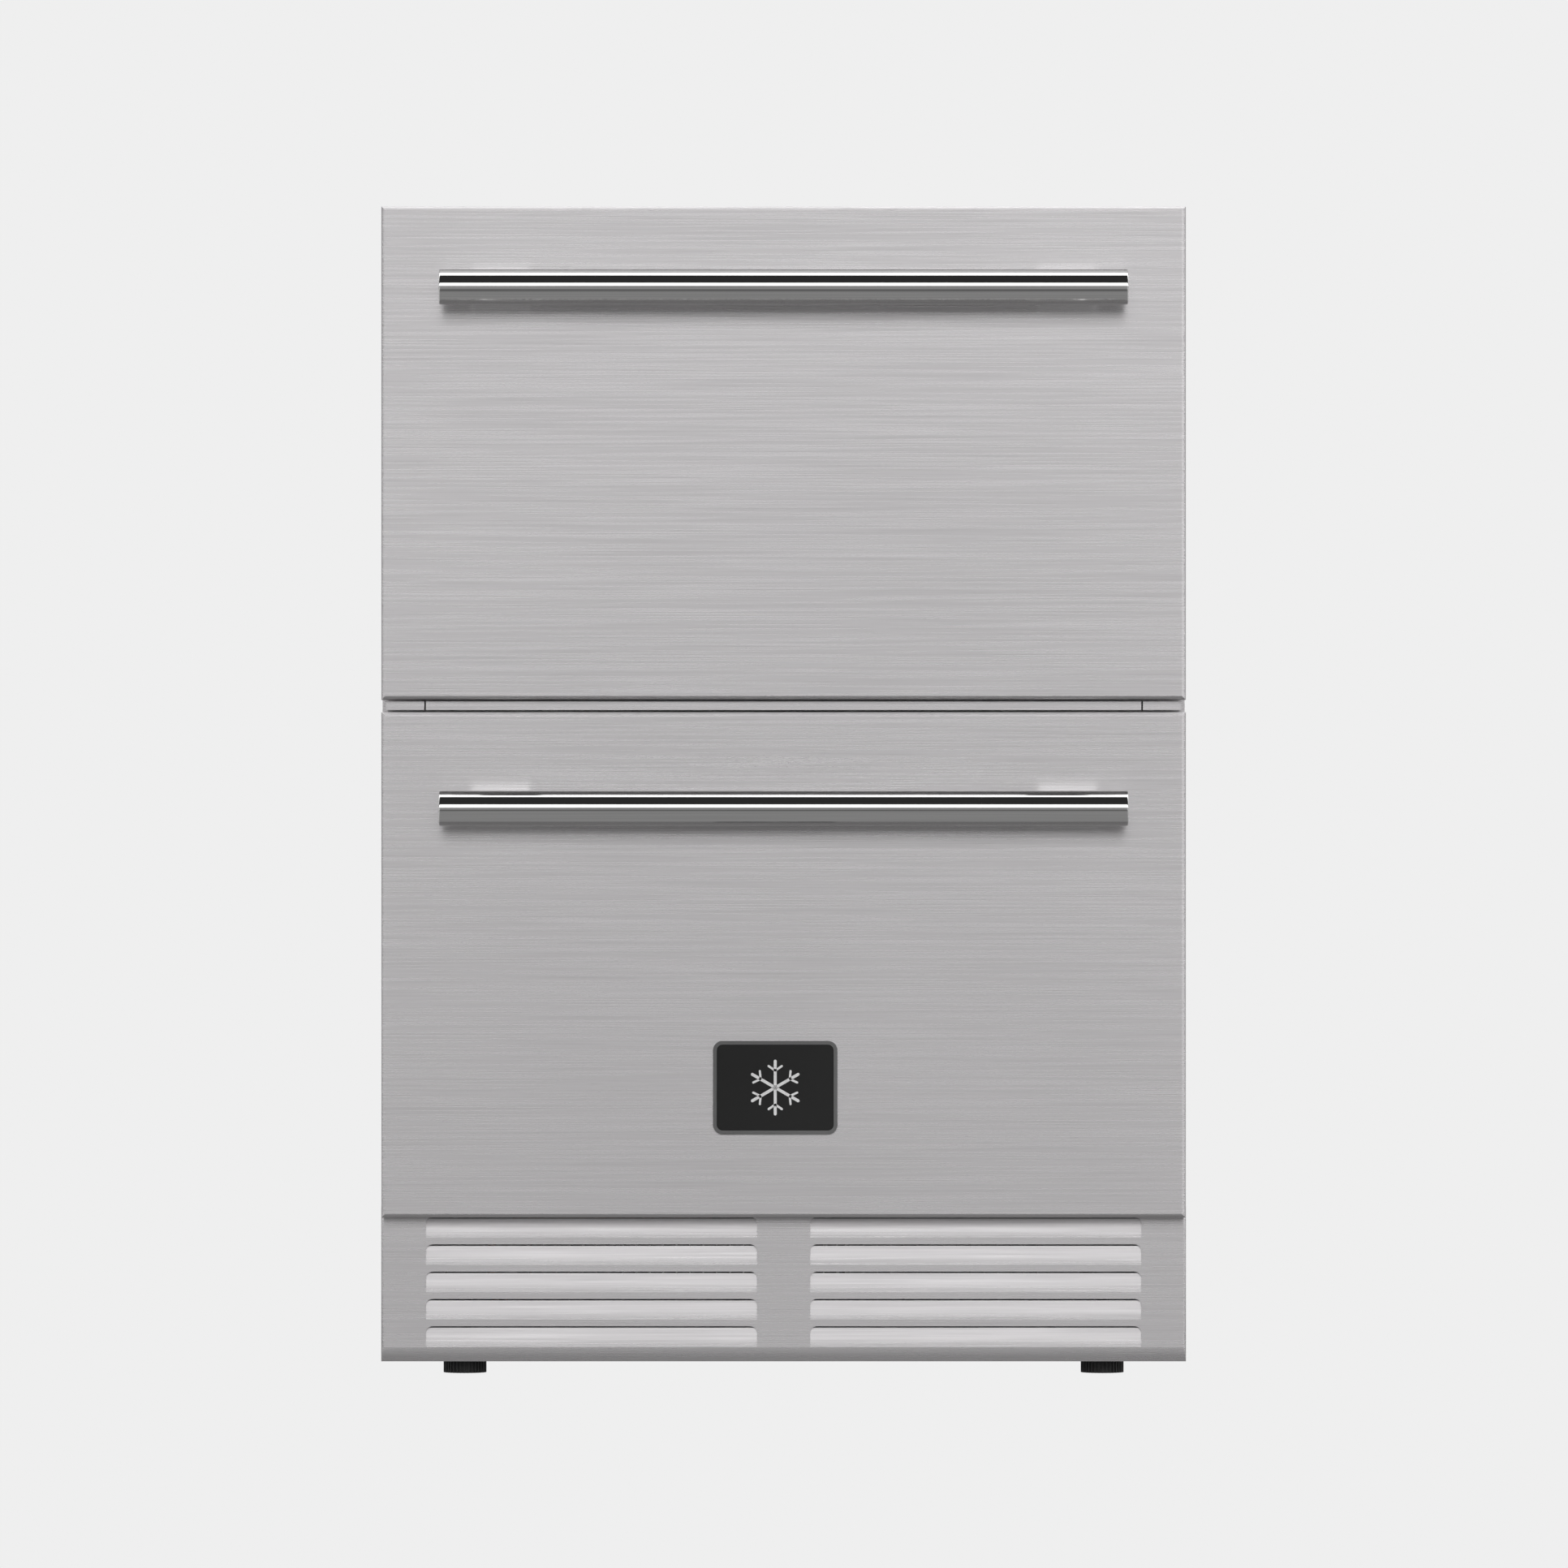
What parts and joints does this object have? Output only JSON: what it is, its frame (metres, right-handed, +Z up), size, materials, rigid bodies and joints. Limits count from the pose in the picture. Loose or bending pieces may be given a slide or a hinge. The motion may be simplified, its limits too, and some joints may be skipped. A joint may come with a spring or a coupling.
{
  "type": "under counter fridge",
  "caption": "Free-standing under counter fridge with pull-out drawers behind brushed steel fronts, tubular handles, a louvred toe grille and low levelling feet.",
  "frame": {"origin": "on the floor, below the centre of the bounding box", "axes": "+Z up, -Y towards the drawer fronts, +X to the right as seen from the front"},
  "size_m": [0.597, 0.627, 0.8665],
  "materials": {
    "brushed_steel": "satin",
    "polished_steel": "polished",
    "zinc_steel": "satin",
    "aluminium": "satin",
    "foam": "matte",
    "white_plastic": "gloss",
    "black_plastic": "satin",
    "black_paint": "satin",
    "rubber": "matte",
    "foot_plastic": "matte",
    "copper": "satin",
    "display": "gloss",
    "lamp": "gloss",
    "button_plastic": "satin",
    "badge_metal": "satin",
    "badge_black": "gloss"
  },
  "bodies": {
    "cabinet": {"side_panel_left": "brushed_steel", "side_panel_right": "brushed_steel", "top_panel": "brushed_steel", "front_sill": "brushed_steel", "mullion": "brushed_steel", "back_panel": "zinc_steel", "base_pan": "zinc_steel", "machine_deck": "zinc_steel", "foam_core": "foam", "inner_liner": "white_plastic", "toe_grille": "brushed_steel", "rear_cover": "zinc_steel", "panel_screws": "zinc_steel", "compressor": "black_paint", "compressor_grommets": "rubber", "condenser_coil": "aluminium", "condenser_fan_frame": "black_plastic", "refrigerant_lines": "copper", "drip_tray": "black_plastic", "power_inlet": "black_plastic", "evaporator_coil": "aluminium", "evaporator_cover": "white_plastic", "evaporator_fan_frame": "black_plastic", "control_console": "black_plastic", "display_window": "display", "led_lamp": "lamp", "upper_cabinet_rails": "zinc_steel", "lower_cabinet_rails": "zinc_steel"},
    "condenser_fan": {"condenser_fan_rotor": "black_plastic"},
    "evaporator_fan": {"evaporator_fan_rotor": "black_plastic"},
    "button_power": {"button_power": "button_plastic"},
    "button_colder": {"button_colder": "button_plastic"},
    "button_warmer": {"button_warmer": "button_plastic"},
    "button_light": {"button_light": "button_plastic"},
    "foot_front_left": {"foot_front_left": "foot_plastic"},
    "foot_front_right": {"foot_front_right": "foot_plastic"},
    "foot_rear_left": {"foot_rear_left": "foot_plastic"},
    "foot_rear_right": {"foot_rear_right": "foot_plastic"},
    "upper_mid_rails": {"upper_mid_rails": "zinc_steel"},
    "lower_mid_rails": {"lower_mid_rails": "zinc_steel"},
    "upper_drawer": {"upper_skin": "brushed_steel", "upper_foam": "foam", "upper_inner_panel": "white_plastic", "upper_gasket": "rubber", "upper_handle_bar": "polished_steel", "upper_handle_posts": "polished_steel", "upper_handle_screws": "zinc_steel", "upper_bin": "aluminium", "upper_drawer_rails": "zinc_steel"},
    "lower_drawer": {"lower_skin": "brushed_steel", "lower_foam": "foam", "lower_inner_panel": "white_plastic", "lower_gasket": "rubber", "lower_handle_bar": "polished_steel", "lower_handle_posts": "polished_steel", "lower_handle_screws": "zinc_steel", "lower_bin": "aluminium", "lower_drawer_rails": "zinc_steel", "badge_frame": "badge_metal", "badge_face": "badge_black"}
  },
  "joints": [
    {"name": "upper_drawer_slide", "type": "slide", "parent": "cabinet", "child": "upper_drawer", "axis": [0, -1, 0], "range_m": [0, 0.4]},
    {"name": "upper_mid_slide", "type": "slide", "parent": "cabinet", "child": "upper_mid_rails", "axis": [0, -1, 0], "range_m": [0, 0.2]},
    {"name": "lower_drawer_slide", "type": "slide", "parent": "cabinet", "child": "lower_drawer", "axis": [0, -1, 0], "range_m": [0, 0.28]},
    {"name": "lower_mid_slide", "type": "slide", "parent": "cabinet", "child": "lower_mid_rails", "axis": [0, -1, 0], "range_m": [0, 0.14]},
    {"name": "condenser_fan_spin", "type": "hinge", "parent": "cabinet", "child": "condenser_fan", "pos_m": [0, -0.1355, 0.0676], "axis": [0, 1, 0], "continuous": true},
    {"name": "evaporator_fan_spin", "type": "hinge", "parent": "cabinet", "child": "evaporator_fan", "pos_m": [0, 0.2401, 0.702], "axis": [0, 1, 0], "continuous": true},
    {"name": "button_power_press", "type": "slide", "parent": "cabinet", "child": "button_power", "axis": [0, 1, 0], "range_m": [0, 0.001], "stiffness_N_per_m": 400, "springref_m": -0.001},
    {"name": "button_colder_press", "type": "slide", "parent": "cabinet", "child": "button_colder", "axis": [0, 1, 0], "range_m": [0, 0.001], "stiffness_N_per_m": 400, "springref_m": -0.001},
    {"name": "button_warmer_press", "type": "slide", "parent": "cabinet", "child": "button_warmer", "axis": [0, 1, 0], "range_m": [0, 0.001], "stiffness_N_per_m": 400, "springref_m": -0.001},
    {"name": "button_light_press", "type": "slide", "parent": "cabinet", "child": "button_light", "axis": [0, 1, 0], "range_m": [0, 0.001], "stiffness_N_per_m": 400, "springref_m": -0.001},
    {"name": "foot_front_left_turn", "type": "hinge", "parent": "cabinet", "child": "foot_front_left", "pos_m": [-0.238, -0.178, 0.02], "axis": [0, 0, 1], "continuous": true},
    {"name": "foot_front_right_turn", "type": "hinge", "parent": "cabinet", "child": "foot_front_right", "pos_m": [0.238, -0.178, 0.02], "axis": [0, 0, 1], "continuous": true},
    {"name": "foot_rear_left_turn", "type": "hinge", "parent": "cabinet", "child": "foot_rear_left", "pos_m": [-0.238, 0.262, 0.02], "axis": [0, 0, 1], "continuous": true},
    {"name": "foot_rear_right_turn", "type": "hinge", "parent": "cabinet", "child": "foot_rear_right", "pos_m": [0.238, 0.262, 0.02], "axis": [0, 0, 1], "continuous": true}
  ],
  "couplings": [
    {"joint": "upper_mid_slide", "follows": "upper_drawer_slide", "ratio": 0.5},
    {"joint": "lower_mid_slide", "follows": "lower_drawer_slide", "ratio": 0.5}
  ]
}
